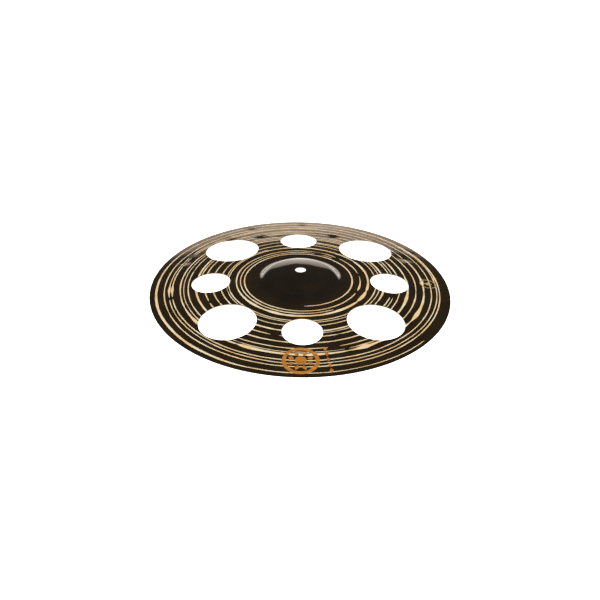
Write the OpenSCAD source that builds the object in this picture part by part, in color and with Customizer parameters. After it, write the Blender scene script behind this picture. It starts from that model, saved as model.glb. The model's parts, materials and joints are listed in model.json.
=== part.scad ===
// Crash cymbal with a ring of sound holes: one bronze plate, and the ink marks printed on it.
// Z is the cymbal's axis and the bell points up. The rim stands on the plane Z = 0.
// The sun emblem is on the -Y side, the side that faces the player.

/* [Bow and rim] */
// Diameter across the rim
cymbal_d = 355.6; // [304:0.2:460]
// Rise of the bow's arc, from the rim to where it would cross the axis
bow_rise = 16; // [12:0.5:22]
// Thickness of the metal at the rim
rim_t = 0.7; // [0.5:0.05:1.1]
// Thickness of the metal in the bell and at its foot
bell_t = 1.1; // [0.8:0.05:1.6]

/* [Bell] */
// Diameter of the bell's foot, where it rises out of the bow
bell_d = 104; // [86:1:126]
// Radius of the hollow at the foot
foot_r = 10; // [7:0.5:14]
// Slope of the bell's flank, in degrees
flank_slope = 45; // [38:1:54]
// Radius of the shoulder between the flank and the crown
shoulder_r = 20.7; // [16:0.1:25]
// Slope at which the shoulder meets the crown, in degrees
crown_slope = 17; // [12:1:24]
// Diameter of the mounting hole
mount_d = 12.7; // [10:0.1:16]

/* [Sound holes] */
// Number of large holes, and also of the small ones between them
hole_pairs = 4; // [2:1:5]
// Diameter of a large hole
large_hole_d = 65.5; // [48:0.5:79]
// Metal left between a large hole and the rim
large_hole_margin = 27.6; // [20:0.2:34]
// Diameter of a small hole
small_hole_d = 45.6; // [34:0.2:55]
// Metal left between a small hole and the rim
small_hole_margin = 49.4; // [40:0.2:60]

/* [Printed marks] */
// Thickness of the ink
ink_t = 0.1; // [0.06:0.01:0.2]
// Bare metal left between the marks and the rim, and between them and the small holes
mark_margin = 4.4; // [2:0.2:9]
// Angle of the sun emblem about the axis, in degrees
emblem_angle = -91; // [-96:1:-84]
// Width of the emblem's ring
emblem_ring_w = 4.4; // [3:0.1:6]
// Diameter of the disc at the emblem's centre
emblem_disc_d = 13; // [8:0.5:15]
// Number of rays between the disc and the ring
emblem_rays = 8; // [5:1:10]
// Width of a ray at its widest place
ray_w = 5.2; // [3:0.2:6]
// Gap between a ray and the ring, and between a ray and the disc
ray_gap = 0.8; // [0.4:0.1:1.5]
// Number of lozenges in the row beside the emblem
lozenge_count = 5; // [3:1:6]
// Width of one lozenge
lozenge_w = 4.6; // [3:0.2:6]
// Gap between two lozenges
lozenge_gap = 1.2; // [0.6:0.1:2]
// Clear width between the emblem and the row of lozenges
row_offset = 7; // [5:0.5:12]
// Angle of the ring mark about the axis, in degrees
ring_mark_angle = 3; // [-6:1:8]
// Outer diameter of the ring mark
ring_mark_d = 20; // [14:0.5:24]
// Width of the ring mark's line
ring_mark_w = 1.2; // [0.8:0.1:2]

/* [Hidden] */
$fn = 128;
through = 60;                 // longer than the cymbal is high, for cuts right through

bronze_colour = [0.15, 0.12, 0.09];
ink_colour = [0.78, 0.50, 0.22];
pale_ink_colour = [0.80, 0.66, 0.42];

// The rim is a half circle that touches the outer diameter and the plane Z = 0. The bow is an
// arc that runs into it without a kink.
rim_r = cymbal_d / 2;
rim_centre = [rim_r - rim_t / 2, rim_t / 2];
bow_mid_r = (pow(rim_centre.x, 2) + pow(bow_rise, 2)) / (2 * bow_rise);
bow_r = bow_mid_r + rim_t / 2;
bow_centre = [0, rim_centre.y + bow_rise - bow_mid_r];
rim_slope = asin(rim_centre.x / bow_mid_r);

// The bell is a chain of arcs that meet without a kink: foot, shoulder and crown.
mount_r = mount_d / 2;
foot_slope = asin(bell_d / 2 / bow_r);
foot_centre = bow_centre + (bow_r + foot_r) * outwards(foot_slope);
shoulder_centre = foot_centre - (foot_r + shoulder_r) * outwards(flank_slope);
crown_edge = shoulder_centre + shoulder_r * outwards(crown_slope);
crown_r = crown_edge.x / sin(crown_slope);
crown_centre = [0, crown_edge.y - crown_r * cos(crown_slope)];

crown_steps = 8;
shoulder_steps = 8;
foot_steps = 8;
bow_steps = 24;
rim_steps = 3;                // in each quarter turn

large_ring_r = rim_r - large_hole_margin - large_hole_d / 2;
small_ring_r = rim_r - small_hole_margin - small_hole_d / 2;
half_pair = 180 / hole_pairs;

// The marks fill the band between the small holes and the rim.
band_mid_r = rim_r - small_hole_margin / 2;
mark_l = small_hole_margin - 2 * mark_margin;
emblem_r = mark_l / 2;
ray_from = emblem_disc_d / 2 + ray_gap;
ray_to = emblem_r - emblem_ring_w - ray_gap;
lozenge_l = (mark_l - (lozenge_count - 1) * lozenge_gap) / lozenge_count;
row_turn = (emblem_r + row_offset + lozenge_w / 2) / band_mid_r * 180 / PI;

// Unit normal, as (radius, height), of a surface that falls outwards at a slope in degrees
function outwards(slope) = [sin(slope), cos(slope)];

function reversed(points) = [for (i = [len(points) - 1:-1:0]) points[i]];

// Points of an arc after its first one, between the slopes of its normal at its two ends
function arc(centre, r, from, to, steps) =
    [for (i = [1:steps]) centre + r * outwards(from + (to - from) * i / steps)];

// The bell's line at a depth under its upper face, from the mounting hole to the foot
function bell_line(depth) =
    let (r = crown_r - depth, start = asin(mount_r / r))
    concat(
        [crown_centre + r * outwards(start)],
        arc(crown_centre, r, start, crown_slope, crown_steps),
        arc(shoulder_centre, shoulder_r - depth, crown_slope, flank_slope, shoulder_steps),
        arc(foot_centre, -foot_r - depth, flank_slope, foot_slope, foot_steps));

// The bow's line from the foot to the rim, with a depth that changes evenly on the way
function bow_line(foot_depth, rim_depth) =
    [for (i = [1:bow_steps])
        let (
            share = i / bow_steps,
            slope = foot_slope + (rim_slope - foot_slope) * share,
            depth = foot_depth + (rim_depth - foot_depth) * share)
        bow_centre + (bow_r - depth) * outwards(slope)];

function rim_line() = concat(
    arc(rim_centre, rim_t / 2, rim_slope, 90, rim_steps),
    arc(rim_centre, rim_t / 2, 90, 180, rim_steps));

module plate() {
    upper = concat(bell_line(0), bow_line(0, 0));
    lower = concat(bell_line(bell_t), bow_line(bell_t, rim_t));
    rotate_extrude()
        polygon(concat(upper, rim_line(), reversed(lower)));
}

module hole_ring(d, ring_r, turn) {
    for (i = [0:hole_pairs - 1])
        rotate(turn + i * 2 * half_pair)
            translate([ring_r, 0, 0])
                cylinder(d = d, h = through, center = true);
}

// Lays a flat shape on the bow's upper face as ink. The shape's X points away from the axis.
module printed(angle) {
    intersection() {
        rotate_extrude()
            polygon(concat(bow_line(0, 0), reversed(bow_line(-ink_t, -ink_t))));
        rotate(angle)
            translate([band_mid_r, 0, 0])
                linear_extrude(through)
                    children();
    }
}

module ring(outer_r, width) {
    difference() {
        circle(r = outer_r);
        circle(r = outer_r - width);
    }
}

module lozenge(length, width) {
    polygon([[length / 2, 0], [0, width / 2], [-length / 2, 0], [0, -width / 2]]);
}

module cymbal() {
    color(bronze_colour)
        difference() {
            plate();
            hole_ring(large_hole_d, large_ring_r, half_pair);
            hole_ring(small_hole_d, small_ring_r, 0);
        }
}

module sun_emblem() {
    color(ink_colour)
        printed(emblem_angle) {
            ring(emblem_r, emblem_ring_w);
            circle(d = emblem_disc_d);
            for (i = [0:emblem_rays - 1])
                rotate((i + 0.5) * 360 / emblem_rays)
                    translate([(ray_from + ray_to) / 2, 0])
                        lozenge(ray_to - ray_from, ray_w);
        }
}

module lozenge_row() {
    color(ink_colour)
        printed(emblem_angle + row_turn)
            for (i = [0:lozenge_count - 1])
                translate([(i - (lozenge_count - 1) / 2) * (lozenge_l + lozenge_gap), 0])
                    lozenge(lozenge_l, lozenge_w);
}

module ring_mark() {
    color(pale_ink_colour)
        printed(ring_mark_angle) {
            ring(ring_mark_d / 2, ring_mark_w);
            lozenge(ring_mark_d / 2, ring_mark_d / 3);
        }
}

cymbal();
sun_emblem();
lozenge_row();
ring_mark();
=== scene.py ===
# A crash cymbal with sound holes, laid on a pale floor.
# The plate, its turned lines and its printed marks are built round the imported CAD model.
# Lengths are in metres and angles in degrees, measured about the cymbal's axis from +X.
import json
import math

import bmesh
import bpy
import numpy as np
from mathutils import Matrix, Vector


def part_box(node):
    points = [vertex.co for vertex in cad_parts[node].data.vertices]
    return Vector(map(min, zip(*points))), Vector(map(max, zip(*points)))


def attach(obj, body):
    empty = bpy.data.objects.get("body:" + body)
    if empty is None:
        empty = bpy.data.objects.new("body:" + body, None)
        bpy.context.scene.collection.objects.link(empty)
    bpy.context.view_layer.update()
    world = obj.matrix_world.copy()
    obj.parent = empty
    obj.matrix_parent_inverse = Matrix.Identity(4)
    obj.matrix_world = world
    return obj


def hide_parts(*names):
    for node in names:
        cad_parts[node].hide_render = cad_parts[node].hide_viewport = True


MM = 0.001
GOLDEN_ANGLE = 180 * (3 - math.sqrt(5))

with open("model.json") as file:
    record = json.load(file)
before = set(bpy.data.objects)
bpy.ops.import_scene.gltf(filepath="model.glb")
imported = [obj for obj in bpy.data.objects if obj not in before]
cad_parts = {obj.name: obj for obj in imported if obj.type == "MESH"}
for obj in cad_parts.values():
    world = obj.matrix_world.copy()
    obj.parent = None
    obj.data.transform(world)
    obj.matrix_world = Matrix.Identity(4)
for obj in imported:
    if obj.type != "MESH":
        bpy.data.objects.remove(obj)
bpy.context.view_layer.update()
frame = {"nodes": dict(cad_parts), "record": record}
dice = np.random.default_rng(14)

# ---------------------------------------------------------------- sizes taken from the frame
low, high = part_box("cymbal")
RIM_R = (high.x - low.x) / 2
BORE_R = frame["record"]["mounts"][0]["dims"]["r_mm"] * MM
OPENINGS = frame["record"]["physics"]["openings"]

# ---------------------------------------------------------------- sizes given here
BELL_FOOT_R = 52 * MM
RING_STEP = 2.2 * MM              # between the plate's rings of points on the bow
BELL_RING_STEP = 1.1 * MM         # and on the bell, whose arcs are tighter
SPOKES = 400                      # points in each ring
RIM_ROUND = 0.35 * MM             # radius of the rounding at the rim
RIM_STEPS = 6                     # steps round it, from the upper face to the under face
SAME_RING = 0.15 * MM             # CAD points closer than this in radius are one ring
FACING = 0.5                      # a CAD face looks up where its normal rises by more than this

DRILL_SIDES = 144
DRILL_LENGTH = 60 * MM
DRILL_MIDDLE = 10 * MM            # height of the drill's middle
LINE_CLEARANCE = 0.02 * MM        # the lines end this far outside the edge of a hole

DENT_RINGS = 9                    # rings of hammer dents between the bell and the rim
DENT_SPACING = 15 * MM
DENT_JITTER = 0.3                 # how far a dent strays, as a share of the spacing
DENT_R = 7.5 * MM
DENT_SIZES = (0.75, 1.25)         # smallest and largest dent, as shares of DENT_R
DENT_DEPTH = 0.16 * MM
DENT_DEPTHS = (0.3, 1.3)          # shallowest and deepest, as shares of DENT_DEPTH
DENT_FALL = 1.6                   # how fast a dent flattens out from its middle
DENT_REACH = 2                    # and where it ends, as a multiple of its size
DENT_FADE = 9 * MM                # the dents die out over this width at the rim
HARD_DENT_R = 8.5 * MM
# Dents that the hammer struck harder: angle, radius as a share of the rim's, depth
HARD_DENTS = [
    (88, 0.905, 0.75 * MM),
    (112, 0.900, 0.75 * MM),
    (70, 0.71, 0.95 * MM),
    (112, 0.71, 0.95 * MM),
    (127, 0.81, 0.60 * MM),
    (28, 0.83, 0.85 * MM),
    (157, 0.85, 0.85 * MM),
    (-73, 0.775, 0.26 * MM),
    (-76, 0.735, 0.26 * MM),
    (-107, 0.61, 0.26 * MM),
    (-15, 0.62, 0.26 * MM),
    (-3, 0.785, 0.26 * MM),
    (-31, 0.805, 0.26 * MM),
    (8, 0.42, 0.24 * MM),
]

# The lathe's tool starts at the foot of the bell and leaves the rim bare: one long spiral.
SPIRAL_START = -83.5
SPIRAL_INNER_R = 0.333 * RIM_R
SPIRAL_PITCH = 0.0529 * RIM_R
SPIRAL_FIRST = -0.02              # in turns
SPIRAL_LAST = 12.126
LINE_STEP = 1.6 * MM              # between the points along a line
LENGTH_STEPS = 4000               # steps in which a line's length is added up
LINE_W = 1.45 * MM
LINE_RISE = 0.05 * MM             # how far a line's metal stands over the dark skin
LINE_ROOT = 0.10 * MM             # and how far it reaches into the plate
LINE_TOP_SHARE = 0.84             # width of a line's flat top, as a share of its root
LINE_FADE = 9 * MM                # length over which a pass starts and ends
LINE_TIP = 0.1                    # width at its very ends, as a share
LINE_GAIN = 1.08                  # width on metal without dents, as a share
DENT_MISS = 0.9 * MM              # a dent this deep takes one whole width off a line
THINNEST_LINE = 0.28 * MM         # below this the tool has missed the metal
SHORTEST_LINE = 3                 # steps; shorter scraps are left out
# Slow random changes along a line: length of one change, and its size
PATH_WANDER = (34 * MM, 0.20 * MM)
WIDTH_WANDER = (21 * MM, 0.12)
BITE_WANDER = (30 * MM, 0.12)
# Second passes of the tool: first turn, last turn, offset at each end, width
SECOND_PASSES = [
    (0.35, 1.07, 4.3 * MM, 4.6 * MM, 1.25 * MM),
    (2.55, 3.50, 2.4 * MM, 6.9 * MM, 1.10 * MM),
    (4.95, 5.75, 3.4 * MM, 6.2 * MM, 1.05 * MM),
    (7.45, 8.15, 5.2 * MM, 6.2 * MM, 1.00 * MM),
    (9.45, 10.35, 2.9 * MM, 7.6 * MM, 1.30 * MM),
]
# Places on the spiral where the tool bit wider, or narrower: turn, spread in turns, extra width
WIDE_BITES = [
    (0.30, 0.12, 0.7 * MM),
    (2.15, 0.35, 1.5 * MM),
    (4.30, 0.14, 1.1 * MM),
    (4.95, 0.12, 1.1 * MM),
    (6.75, 0.14, 1.2 * MM),
    (7.20, 0.14, 1.3 * MM),
    (9.05, 0.26, 1.9 * MM),
    (11.33, 0.10, 0.9 * MM),
    (11.76, 0.07, 1.6 * MM),
    (11.85, 0.06, 1.4 * MM),
    (12.05, 0.08, -0.5 * MM),
]

# Spots where the tool swelled the lines, or skipped: angle, radius as a share of the rim's,
# reach along the line, and the share of the width that is added (or lost, below 0)
TOOL_SPOTS = [
    (-62, 0.815, 9 * MM, 1.7),
    (-26, 0.815, 11 * MM, 1.6),
    (-15, 0.725, 11 * MM, 1.7),
    (4, 0.820, 9 * MM, 1.6),
    (-147, 0.800, 8 * MM, 1.3),
    (-114, 0.805, 12 * MM, 1.2),
    (-27, 0.443, 8 * MM, 1.6),
    (-12, 0.443, 10 * MM, 0.9),
    (-60, 0.445, 20 * MM, 0.8),
    (-95, 0.440, 10 * MM, 1.3),
    (-112, 0.430, 9 * MM, 1.4),
    (-140, 0.425, 13 * MM, 1.1),
    (-14, 0.395, 8 * MM, 1.0),
    (20, 0.670, 10 * MM, 1.1),
    (-103, 0.600, 6 * MM, 1.7),
    (28, 0.820, 6 * MM, 2.2),
    (157, 0.860, 5 * MM, 2.6),
    (-177, 0.860, 7 * MM, 1.6),
    (-105, 0.645, 6 * MM, -1.2),
    (-76, 0.760, 8 * MM, -1.2),
    (-70, 0.810, 5 * MM, -1.2),
    (-33, 0.810, 5 * MM, -1.2),
    (-5, 0.805, 4 * MM, -1.2),
    (-15, 0.615, 7 * MM, -1.2),
    (-22, 0.390, 4 * MM, -1.2),
    (-17, 0.445, 3 * MM, -1.1),
    (-36, 0.445, 3 * MM, -1.1),
    (11, 0.415, 8 * MM, -1.2),
    (9, 0.720, 5 * MM, -1.2),
    (38, 0.445, 5 * MM, -1.2),
    (50, 0.390, 6 * MM, -1.2),
    (70, 0.390, 7 * MM, -1.2),
    (70, 0.710, 8 * MM, -1.2),
    (112, 0.710, 8 * MM, -1.2),
    (-120, 0.800, 3 * MM, -1.1),
    (-158, 0.640, 3 * MM, -1.1),
    (-170, 0.860, 4 * MM, -1.2),
    (151, 0.860, 4 * MM, -1.2),
    (34, 0.840, 5 * MM, -1.2),
]
SPOT_HALF_W = 4.5 * MM            # reach of a spot across the lines
WIDEST_SWELL = 2.7                # as a share of a line's usual width
CHANCE_SPOTS = 60                 # small spots that fall where they may
CHANCE_BAND = (0.38, 0.92)        # inner and outer radius of their band, as shares of the rim's
CHANCE_REACH = (2.5, 7)           # in millimetres
CHANCE_CHANGES = (-0.8, 0.7)      # a skip or a swell
CHANCE_STRENGTH = (0.5, 1.2)

# ---------------------------------------------------------------- printed marks
INK_LIFT = 0.03 * MM              # keeps the ink clear of the metal it is pressed onto
INK_EDGE = 1.2 * MM               # longest edge in the ink, so that it bends into the dents
INK_CUTS = 3                      # rounds of halving the edges that are longer
WELD = 0.002 * MM

# ---------------------------------------------------------------- camera
CAMERA_ELEVATION = 30.78
CAMERA_ANGLE = -91.75
CAMERA_DISTANCE = 7.036 * RIM_R
CAMERA_TILT = 0.510               # aims this far under the rim's centre
CAMERA_ROLL = 1.053
CAMERA_LENS = 63.16
CAMERA_SENSOR = 36.0
CAMERA_NEAR = 0.05

# ---------------------------------------------------------------- studio
FLOOR_R = 12.0
FLOOR_SIDES = 96
FLOOR_GAP = 0.05 * MM             # the floor lies this far under the rim
FLOOR_GLOW = 1.3
OVERHEAD_PLACE = (0.0, -0.25, 1.5)
OVERHEAD_SIZE = 1.6
OVERHEAD_POWER = 42
STUDIO_STRENGTH = 1.65
# The pale wall, as seen along a ray that is one unit long
WALL_TOP = 0.245                  # rise to the wall's top, at its middle
WALL_TOP_BLUR = 0.02
WALL_DIP = 0.25                   # how fast that top climbs to both sides
WALL_SPREAD = 0.86                # half width at the floor, for each unit of depth
WALL_TAPER = 2.25                 # what the half width loses for each unit of rise
WALL_SIDE_BLUR = (-0.01, 0.03)
WALL_TONES = (0.08, 0.31)         # its tone changes between these two rises


def direction(angle, elevation):
    """Unit vector from the axis towards an angle and an elevation."""
    a, e = math.radians(angle), math.radians(elevation)
    return Vector((math.cos(a) * math.cos(e), math.sin(a) * math.cos(e), math.sin(e)))


def make_camera():
    data = bpy.data.cameras.new("camera")
    data.lens = CAMERA_LENS
    data.sensor_width = CAMERA_SENSOR
    data.clip_start = CAMERA_NEAR
    camera = bpy.data.objects.new("camera", data)
    bpy.context.scene.collection.objects.link(camera)
    back = direction(CAMERA_ANGLE, CAMERA_ELEVATION)
    aim = (-back).to_track_quat("-Z", "Y").to_matrix()
    tilt = Matrix.Rotation(math.radians(-CAMERA_TILT), 3, "X")
    roll = Matrix.Rotation(math.radians(CAMERA_ROLL), 3, "Z")
    place = Matrix.Translation(back * CAMERA_DISTANCE)
    camera.matrix_world = place @ (aim @ tilt @ roll).to_4x4()
    bpy.context.scene.camera = camera


# ---------------------------------------------------------------- shader writing
class Value:
    """A socket that Python's operators work on. Each operator adds a Math node."""

    def __init__(self, board, socket):
        self.board = board
        self.socket = socket

    def math(self, operation, *others):
        values = dict(enumerate((self,) + others))
        return self.board.add("ShaderNodeMath", {"operation": operation}, values)

    def __add__(self, other):
        return self.math("ADD", other)

    def __radd__(self, other):
        return self.math("ADD", other)

    def __mul__(self, other):
        return self.math("MULTIPLY", other)

    def __rmul__(self, other):
        return self.math("MULTIPLY", other)

    def __sub__(self, other):
        return self.math("SUBTRACT", other)

    def __rsub__(self, other):
        return self.math("MULTIPLY_ADD", -1.0, other)

    def step(self, start, end):
        """0 below start, 1 above end, and smooth between them."""
        settings = {"interpolation_type": "SMOOTHSTEP"}
        values = {"Value": self, "From Min": start, "From Max": end}
        return self.board.add("ShaderNodeMapRange", settings, values)


class Board:
    """A node tree, and the one method that adds a node to it."""

    def __init__(self, tree):
        self.nodes, self.links = tree.nodes, tree.links

    def add(self, kind, settings=None, values=None, out=0):
        node = self.nodes.new(kind)
        for name, setting in (settings or {}).items():
            setattr(node, name, setting)
        for key, value in (values or {}).items():
            if isinstance(value, Value):
                self.links.new(value.socket, node.inputs[key])
            else:
                node.inputs[key].default_value = value
        return Value(self, node.outputs[out])

    def blend(self, share, first, second):
        """The first colour where share is 0, and the second where it is 1."""
        values = {"Factor": share, 6: first, 7: second}
        return self.add("ShaderNodeMix", {"data_type": "RGBA"}, values, 2)


class Finish(Board):
    """One material. Its constants are set on the shader's own sockets."""

    def __init__(self, name, **constants):
        self.material = bpy.data.materials.new(name)
        self.material.use_nodes = True
        super().__init__(self.material.node_tree)
        self.shader = self.nodes["Principled BSDF"]
        for socket, value in constants.items():
            self.shader.inputs[socket.replace("_", " ")].default_value = value

    def feed(self, **sockets):
        for name, value in sockets.items():
            self.links.new(value.socket, self.shader.inputs[name.replace("_", " ")])

    def place(self):
        """The point on the object, in metres, and its distance from the axis."""
        point = self.add("ShaderNodeTexCoord", out="Object")
        level = {0: point, 1: (1, 1, 0)}
        flat = self.add("ShaderNodeVectorMath", {"operation": "MULTIPLY"}, level)
        radius = self.add("ShaderNodeVectorMath", {"operation": "LENGTH"}, {0: flat}, "Value")
        return point, radius

    def cloud(self, point, size, detail=3.0, rough=0.55):
        values = {"Vector": point, "Scale": 1 / size, "Detail": detail, "Roughness": rough}
        return self.add("ShaderNodeTexNoise", {"noise_dimensions": "3D"}, values)

    def rings(self, radius, width, detail=2.0):
        """Noise that changes only with the radius, as a lathe's tool leaves it."""
        values = {"W": radius, "Scale": 1 / width, "Detail": detail, "Roughness": 0.6}
        return self.add("ShaderNodeTexNoise", {"noise_dimensions": "1D"}, values)

    def bump(self, height, depth):
        """Turns a height between 0 and 1 into a normal; depth is what 1 stands for, in metres."""
        return self.add("ShaderNodeBump", None, {"Height": height, "Distance": depth})


def colour(red, green, blue):
    return (red, green, blue, 1.0)


def dark_skin():
    """The burnt and waxed skin: near black, a little brown, with fine turned rings."""
    finish = Finish("dark_skin", Metallic=0.85, Anisotropic=0.3)
    point, radius = finish.place()
    fine = finish.rings(radius, 0.55 * MM)
    broad = finish.rings(radius, 5 * MM)
    stain = finish.cloud(point, 28 * MM)
    speck = finish.cloud(point, 2.2 * MM, 4.0, 0.7)
    bow = radius.step(BELL_FOOT_R - 4 * MM, BELL_FOOT_R + 12 * MM)
    browned = stain.step(0.35, 0.7)
    bell_tone = finish.blend(browned, colour(0.044, 0.035, 0.025), colour(0.064, 0.045, 0.030))
    bow_tone = finish.blend(browned, colour(0.066, 0.046, 0.022), colour(0.092, 0.060, 0.030))
    umber = finish.blend(bow, bell_tone, bow_tone)
    worn = fine.step(0.62, 0.76) * broad.step(0.5, 0.66) * (0.06 + 0.29 * bow)
    turned = finish.blend(worn, umber, colour(0.16, 0.10, 0.05))
    skin = finish.blend(speck.step(0.62, 0.8) * 0.5, turned, colour(0.030, 0.023, 0.015))
    rough = 0.055 + 0.025 * bow + 0.03 * stain + 0.02 * fine
    wax = 0.25 - 0.25 * bow
    grain = finish.bump(fine * 0.7 + speck * 0.3, 0.004 * MM)
    finish.feed(Base_Color=skin, Roughness=rough, Coat_Weight=wax, Normal=grain)
    return finish.material


def bare_bronze():
    """Bright metal where the lathe's tool has cut through the skin."""
    finish = Finish("bare_bronze", Metallic=0.4, Anisotropic=0.5)
    point, radius = finish.place()
    fine = finish.rings(radius, 0.35 * MM)
    tone = finish.cloud(point, 24 * MM)
    pale = finish.blend(tone.step(0.38, 0.62), colour(0.95, 0.81, 0.55), colour(0.90, 0.62, 0.31))
    metal = finish.blend(fine.step(0.35, 0.75) * 0.3, pale, colour(0.62, 0.40, 0.18))
    rough = 0.42 + 0.14 * fine
    finish.feed(Base_Color=metal, Roughness=rough, Normal=finish.bump(fine, 0.015 * MM))
    return finish.material


def metallic_ink(name, bright, deep):
    """Printed ink, with the turned metal under it showing as fine streaks."""
    finish = Finish(name, Metallic=0.55, Anisotropic=0.3)
    point, radius = finish.place()
    streak = finish.rings(radius, 0.6 * MM)
    mottle = finish.cloud(point, 1.6 * MM, 4.0, 0.7)
    under = finish.rings(radius, 3.2 * MM, 0.0)
    worn = under.step(0.45, 0.6) * 0.45 + streak.step(0.35, 0.65) * 0.35
    ink = finish.blend(worn + mottle.step(0.4, 0.65) * 0.2, deep, bright)
    rough = 0.40 + 0.15 * mottle
    finish.feed(Base_Color=ink, Roughness=rough, Normal=finish.bump(streak, 0.02 * MM))
    return finish.material


def paper_floor():
    """White paper that glows a little, so that it stays white under the soft light."""
    finish = Finish(
        "pale_floor", Roughness=0.9, Emission_Color=colour(1, 1, 1), Emission_Strength=FLOOR_GLOW
    )
    point, _ = finish.place()
    grain = finish.cloud(point, 3 * MM, 2.0)
    paper = finish.blend(grain, colour(0.88, 0.88, 0.88), colour(0.92, 0.92, 0.92))
    finish.feed(Base_Color=paper)
    return finish.material


# ---------------------------------------------------------------- the plate's section
def face_profile(node, side):
    """Radius and height of the CAD plate's upper face (side 1) or under face (side -1).

    The edges of the holes and of the rim face sideways, so they are left out.
    """
    mesh = node.data
    chosen = set()
    for face in mesh.polygons:
        if face.normal.z * side > FACING:
            chosen.update(face.vertices)
    points = np.array([mesh.vertices[i].co for i in chosen])
    radius = np.hypot(points[:, 0], points[:, 1])
    order = np.argsort(radius)
    radius, height = radius[order], points[order, 2]
    group = np.cumsum(np.diff(radius, prepend=0) > SAME_RING)
    count = np.bincount(group)
    kept = count > 0
    ring_radius = np.bincount(group, radius)[kept] / count[kept]
    ring_height = np.bincount(group, height)[kept] / count[kept]
    return ring_radius, ring_height


def smooth_line(profile):
    """A curve through the profile's points without kinks, as a function of the radius."""
    radius, height = profile
    slope = np.gradient(height, radius)

    def line(r):
        i = np.clip(np.searchsorted(radius, r) - 1, 0, len(radius) - 2)
        gap = radius[i + 1] - radius[i]
        t = np.clip((r - radius[i]) / gap, 0, 1)
        return (
            (1 + 2 * t) * (1 - t) ** 2 * height[i]
            + t * (1 - t) ** 2 * gap * slope[i]
            + t**2 * (3 - 2 * t) * height[i + 1]
            + t**2 * (t - 1) * gap * slope[i + 1]
        )

    return line


def scatter_dents():
    """Angle, radius, size and depth of every hammer dent."""
    dents = []
    gap = (RIM_R - BELL_FOOT_R) / (DENT_RINGS + 0.5)
    for ring in range(DENT_RINGS):
        ring_r = BELL_FOOT_R + (ring + 0.75) * gap
        count = round(2 * math.pi * ring_r / DENT_SPACING)
        for i in range(count):
            stray = dice.uniform(-DENT_JITTER, DENT_JITTER)
            angle = 360 * (i + stray) / count + GOLDEN_ANGLE * ring
            r = ring_r + dice.uniform(-DENT_JITTER, DENT_JITTER) * gap
            size = DENT_R * dice.uniform(*DENT_SIZES)
            dents.append((angle, r, size, DENT_DEPTH * dice.uniform(*DENT_DEPTHS)))
    for angle, share, depth in HARD_DENTS:
        dents.append((angle, share * RIM_R, HARD_DENT_R, depth))
    return np.array(dents)


DENTS = scatter_dents()
upper_line = smooth_line(face_profile(frame["nodes"]["cymbal"], 1))
under_line = smooth_line(face_profile(frame["nodes"]["cymbal"], -1))


def dent_depth(x, y):
    """How far the hammer has driven the metal down at each point."""
    x, y = np.asarray(x, float), np.asarray(y, float)
    depth = np.zeros_like(x)
    for angle, r, size, deep in DENTS:
        cx, cy = r * math.cos(math.radians(angle)), r * math.sin(math.radians(angle))
        reach = DENT_REACH * size
        near = (abs(x - cx) < reach) & (abs(y - cy) < reach)
        apart = ((x[near] - cx) ** 2 + (y[near] - cy) ** 2) / size**2
        depth[near] += deep * np.exp(-DENT_FALL * apart)
    radius = np.hypot(x, y)
    fade = np.clip((RIM_R - radius) / DENT_FADE, 0, 1)
    return depth * fade * fade * (3 - 2 * fade)


def upper_height(x, y):
    return upper_line(np.hypot(x, y)) - dent_depth(x, y)


def under_height(x, y):
    return under_line(np.hypot(x, y)) - dent_depth(x, y)


# ---------------------------------------------------------------- mesh helpers
def make_piece(name, points, faces, material):
    mesh = bpy.data.meshes.new(name)
    mesh.from_pydata([tuple(p) for p in points], [], faces)
    mesh.materials.append(material)
    piece = bpy.data.objects.new(name, mesh)
    bpy.context.scene.collection.objects.link(piece)
    return piece


def shade(piece, sharp_angle):
    mesh = piece.data
    mesh.polygons.foreach_set("use_smooth", [True] * len(mesh.polygons))
    mesh.set_sharp_from_angle(angle=math.radians(sharp_angle))


def sound_holes():
    """Middle and radius of each sound hole.

    The middle is that of its stated opening, and the radius reaches to the nearest point of
    the CAD plate.
    """
    points = np.array([v.co for v in frame["nodes"]["cymbal"].data.vertices])
    for opening in OPENINGS:
        if "hole" in opening["name"]:
            middle = np.array(opening["box_m"]).mean(axis=0)
            reach = np.hypot(points[:, 0] - middle[0], points[:, 1] - middle[1]).min()
            yield middle, float(reach)


def drill(piece, spare=0.0):
    """Cuts the sound holes through a piece. spare widens them."""
    cutter = bmesh.new()
    for middle, radius in sound_holes():
        bmesh.ops.create_cone(
            cutter,
            cap_ends=True,
            segments=DRILL_SIDES,
            radius1=radius + spare,
            radius2=radius + spare,
            depth=DRILL_LENGTH,
            matrix=Matrix.Translation((middle[0], middle[1], DRILL_MIDDLE)),
        )
    mesh = bpy.data.meshes.new("drill")
    cutter.to_mesh(mesh)
    cutter.free()
    tool = bpy.data.objects.new("drill", mesh)
    bpy.context.scene.collection.objects.link(tool)
    cut = piece.modifiers.new("drill", "BOOLEAN")
    cut.operation = "DIFFERENCE"
    cut.solver = "MANIFOLD"
    cut.object = tool
    graph = bpy.context.evaluated_depsgraph_get()
    drilled = bpy.data.meshes.new_from_object(piece.evaluated_get(graph))
    piece.modifiers.clear()
    piece.data = drilled
    bpy.data.objects.remove(tool)


# ---------------------------------------------------------------- the pieces
def plate_radii():
    """Radii of the rings of points on either face, from the bore to the rim's rounding."""
    bell = np.arange(BORE_R, BELL_FOOT_R, BELL_RING_STEP)
    edge = RIM_R - RIM_ROUND
    bow = np.linspace(BELL_FOOT_R, edge, round((edge - BELL_FOOT_R) / RING_STEP) + 1)
    return np.concatenate([bell, bow])


def ring_of_points(r, height):
    """Points round a circle. height is one number, or a function of their x and y."""
    turns = np.linspace(0, 2 * math.pi, SPOKES, endpoint=False)
    x, y = r * np.cos(turns), r * np.sin(turns)
    z = height(x, y) if callable(height) else np.full(SPOKES, height)
    return np.stack([x, y, z], axis=1)


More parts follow.
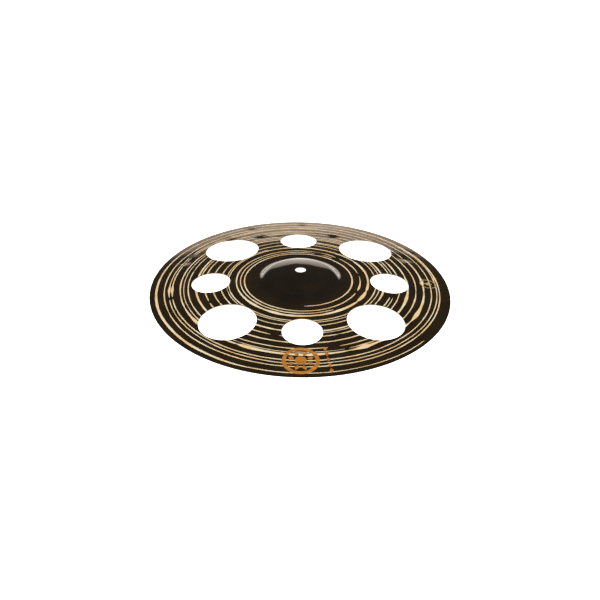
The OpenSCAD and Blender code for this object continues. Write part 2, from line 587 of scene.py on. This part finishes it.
def rim_rings(edge):
    """The rings of points that round the rim off, from the upper face to the under face."""
    top = float(upper_line(edge))
    bottom = float(under_line(edge))
    middle, half = (top + bottom) / 2, (top - bottom) / 2
    for i in range(1, RIM_STEPS):
        a = math.pi * (0.5 - i / RIM_STEPS)
        r = edge + (RIM_R - edge) * math.cos(a)
        yield ring_of_points(r, middle + half * math.sin(a))


def make_plate(material):
    """The hammered plate: one closed skin over the top, round the rim and back underneath."""
    radii = plate_radii()
    rings = [ring_of_points(r, upper_height) for r in radii]
    rings += rim_rings(radii[-1])
    rings += [ring_of_points(r, under_height) for r in radii[::-1]]
    count = len(rings)
    faces = []
    for i in range(count):
        a, b = i * SPOKES, (i + 1) % count * SPOKES
        for j in range(SPOKES):
            k = (j + 1) % SPOKES
            faces.append((a + j, b + j, b + k, a + k))
    plate = make_piece("cymbal_plate", np.concatenate(rings), faces, material)
    drill(plate)
    shade(plate, sharp_angle=35)
    return plate


def wander(length, spacing, size):
    """A smooth random run of numbers, one for each step along a line of that length."""
    knots = dice.normal(0, 1, int(length / spacing) + 4)
    at = np.linspace(0, len(knots) - 1, int(length / LINE_STEP) + 2)
    whole = np.minimum(at.astype(int), len(knots) - 2)
    share = at - whole
    share = share * share * (3 - 2 * share)
    return size * (knots[whole] * (1 - share) + knots[whole + 1] * share)


def scatter_spots():
    """The listed tool spots, and small chance ones between them."""
    spots = list(TOOL_SPOTS)
    for _ in range(CHANCE_SPOTS):
        share = math.sqrt(dice.uniform(CHANCE_BAND[0] ** 2, CHANCE_BAND[1] ** 2))
        reach = dice.uniform(*CHANCE_REACH) * MM
        change = dice.choice(CHANCE_CHANGES) * dice.uniform(*CHANCE_STRENGTH)
        spots.append((dice.uniform(-180, 180), share, reach, change))
    return spots


SPOTS = scatter_spots()


def spot_share(r, angle):
    """The share of its usual width that a line has at each point, from the spots near it."""
    swell, skip = np.ones_like(r), np.ones_like(r)
    for spot_angle, spot_r, reach, change in SPOTS:
        away = (angle - math.radians(spot_angle) + math.pi) % (2 * math.pi) - math.pi
        along, across = away * r / reach, (r - spot_r * RIM_R) / SPOT_HALF_W
        effect = change * np.exp(-(along**2) - across**2)
        if change > 0:
            swell += effect
        else:
            skip *= np.maximum(1 + effect, 0)
    return np.minimum(swell, WIDEST_SWELL) * skip


def turned_line(first, last, offset_first, offset_last, width, bites):
    """Points (x, y), angles and widths along one pass of the tool, in even steps."""

    def line_radius(turn):
        share = (turn - first) / (last - first)
        offset = offset_first + (offset_last - offset_first) * share**2
        return SPIRAL_INNER_R + SPIRAL_PITCH * turn + offset

    fine = np.linspace(first, last, LENGTH_STEPS)
    run = np.concatenate([[0], np.cumsum(np.diff(fine) * 2 * math.pi * line_radius(fine)[1:])])
    steps = int(run[-1] / LINE_STEP)
    turn = np.interp(np.linspace(0, run[-1], steps), run, fine)
    r = line_radius(turn) + wander(run[-1], *PATH_WANDER)[:steps]
    angle = np.radians(SPIRAL_START) + 2 * math.pi * turn
    x, y = r * np.cos(angle), r * np.sin(angle)
    wide = width * (1 + wander(run[-1], *WIDTH_WANDER)[:steps]) * spot_share(r, angle)
    for middle, spread, extra in bites:
        grow = np.exp(-(((turn - middle) / spread) ** 2))
        wide = wide + extra * grow * (1 + wander(run[-1], *BITE_WANDER)[:steps])
    wide = wide * (LINE_GAIN - dent_depth(x, y) / DENT_MISS)
    from_end = np.minimum(np.arange(steps), np.arange(steps)[::-1]) * LINE_STEP
    return x, y, angle, wide * np.clip(from_end / LINE_FADE, LINE_TIP, 1)


def add_ribbon(points, faces, x, y, angle, wide):
    """One unbroken stretch of bright line, as a thin closed strip let into the plate."""
    start = len(points)
    out_x, out_y = np.cos(angle), np.sin(angle)
    # The strip's section: a share of the width, and a height over the skin
    top = LINE_TOP_SHARE / 2
    section = (
        (-0.5, -LINE_ROOT),
        (-top, LINE_RISE),
        (0.0, LINE_RISE),
        (top, LINE_RISE),
        (0.5, -LINE_ROOT),
    )
    columns = []
    for share, lift in section:
        px, py = x + out_x * wide * share, y + out_y * wide * share
        columns.append(np.stack([px, py, upper_height(px, py) + lift], axis=1))
    points.extend(np.stack(columns, axis=1).reshape(-1, 3).tolist())
    size = len(section)
    for i in range(len(x) - 1):
        a, b = start + i * size, start + (i + 1) * size
        for j in range(size):
            k = (j + 1) % size
            faces.append((a + j, a + k, b + k, b + j))
    last = start + (len(x) - 1) * size
    faces.append(tuple(start + j for j in range(size - 1, -1, -1)))
    faces.append(tuple(last + j for j in range(size)))


def make_lines(material):
    """Every pass of the lathe's tool: the long spiral and the second passes between its turns."""
    passes = [(SPIRAL_FIRST, SPIRAL_LAST, 0.0, 0.0, LINE_W)] + SECOND_PASSES
    points, faces = [], []
    for number, line in enumerate(passes):
        x, y, angle, wide = turned_line(*line, WIDE_BITES if number == 0 else [])
        bright = (wide > THINNEST_LINE).astype(int)
        change = np.diff(bright, prepend=0, append=0)
        for a, b in zip(np.flatnonzero(change == 1), np.flatnonzero(change == -1)):
            if b - a > SHORTEST_LINE:
                add_ribbon(points, faces, x[a:b], y[a:b], angle[a:b], wide[a:b])
    lines = make_piece("turned_lines", points, faces, material)
    drill(lines, spare=LINE_CLEARANCE)
    shade(lines, sharp_angle=40)
    return lines


def make_mark(node, name, material):
    """A printed mark: the CAD mark, pressed onto the hammered surface."""
    mesh = frame["nodes"][node].data.copy()
    mesh.name = name
    work = bmesh.new()
    work.from_mesh(mesh)
    bmesh.ops.remove_doubles(work, verts=work.verts, dist=WELD)
    for _ in range(INK_CUTS):
        long_edges = [e for e in work.edges if e.calc_length() > INK_EDGE]
        bmesh.ops.subdivide_edges(work, edges=long_edges, cuts=1)
    bmesh.ops.triangulate(work, faces=work.faces)
    work.to_mesh(mesh)
    work.free()
    points = np.zeros(len(mesh.vertices) * 3)
    mesh.vertices.foreach_get("co", points)
    points = points.reshape(-1, 3)
    points[:, 2] += INK_LIFT - dent_depth(points[:, 0], points[:, 1])
    mesh.vertices.foreach_set("co", points.ravel())
    mesh.materials.clear()
    mesh.materials.append(material)
    mark = bpy.data.objects.new(name, mesh)
    bpy.context.scene.collection.objects.link(mark)
    shade(mark, sharp_angle=40)
    return mark


# ---------------------------------------------------------------- the studio
def make_floor():
    work = bmesh.new()
    bmesh.ops.create_circle(work, cap_ends=True, segments=FLOOR_SIDES, radius=FLOOR_R)
    mesh = bpy.data.meshes.new("floor")
    work.to_mesh(mesh)
    work.free()
    mesh.materials.append(paper_floor())
    floor = bpy.data.objects.new("floor", mesh)
    bpy.context.scene.collection.objects.link(floor)
    floor.location.z = low.z - FLOOR_GAP


def make_overhead_light():
    """A round soft box that lights the bronze and leaves no reflection of its own."""
    data = bpy.data.lights.new("overhead", "AREA")
    data.shape = "DISK"
    data.size = OVERHEAD_SIZE
    data.energy = OVERHEAD_POWER
    light = bpy.data.objects.new("overhead", data)
    bpy.context.scene.collection.objects.link(light)
    light.location = OVERHEAD_PLACE
    light.visible_glossy = False
    light.rotation_euler = (-Vector(OVERHEAD_PLACE)).to_track_quat("-Z", "Y").to_euler()


def make_surround():
    """A dark room with one low pale wall behind the cymbal.

    The wall narrows towards its top, and the top sags in the middle. The camera itself sees
    plain white.
    """
    world = bpy.data.worlds.new("studio")
    bpy.context.scene.world = world
    world.use_nodes = True
    board = Board(world.node_tree)
    ray = board.add("ShaderNodeTexCoord", out="Generated")
    x, y, z = (board.add("ShaderNodeSeparateXYZ", None, {0: ray}, out=axis) for axis in "XYZ")
    aside = x.math("ABSOLUTE")
    half_width = y * (WALL_SPREAD - WALL_TAPER * z)
    inside = (half_width - aside).step(*WALL_SIDE_BLUR)
    over_top = (z - WALL_DIP * aside).step(WALL_TOP, WALL_TOP + WALL_TOP_BLUR)
    wall = board.blend(z.step(*WALL_TONES), colour(0.90, 0.79, 0.69), colour(0.72, 0.62, 0.53))
    room = board.blend(inside * (1 - over_top), colour(0.04, 0.036, 0.031), wall)
    seen = board.add("ShaderNodeLightPath", out="Is Camera Ray")
    background = board.nodes["Background"]
    board.links.new(board.blend(seen, room, colour(1, 1, 1)).socket, background.inputs["Color"])
    background.inputs["Strength"].default_value = STUDIO_STRENGTH


make_camera()
plate = make_plate(dark_skin())
lines = make_lines(bare_bronze())
orange = metallic_ink("orange_ink", colour(0.80, 0.35, 0.075), colour(0.40, 0.14, 0.016))
pale = metallic_ink("pale_ink", colour(0.80, 0.58, 0.30), colour(0.50, 0.33, 0.14))
emblem = make_mark("sun_emblem", "printed_sun", orange)
row = make_mark("lozenge_row", "printed_lozenges", orange)
ring = make_mark("ring_mark", "printed_ring", pale)

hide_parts("cymbal")
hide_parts("sun_emblem")
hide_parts("lozenge_row")
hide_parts("ring_mark")
for piece in (plate, lines, emblem, row, ring):
    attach(piece, "root")

make_floor()
make_overhead_light()
make_surround()
bpy.context.scene.view_settings.view_transform = "Standard"
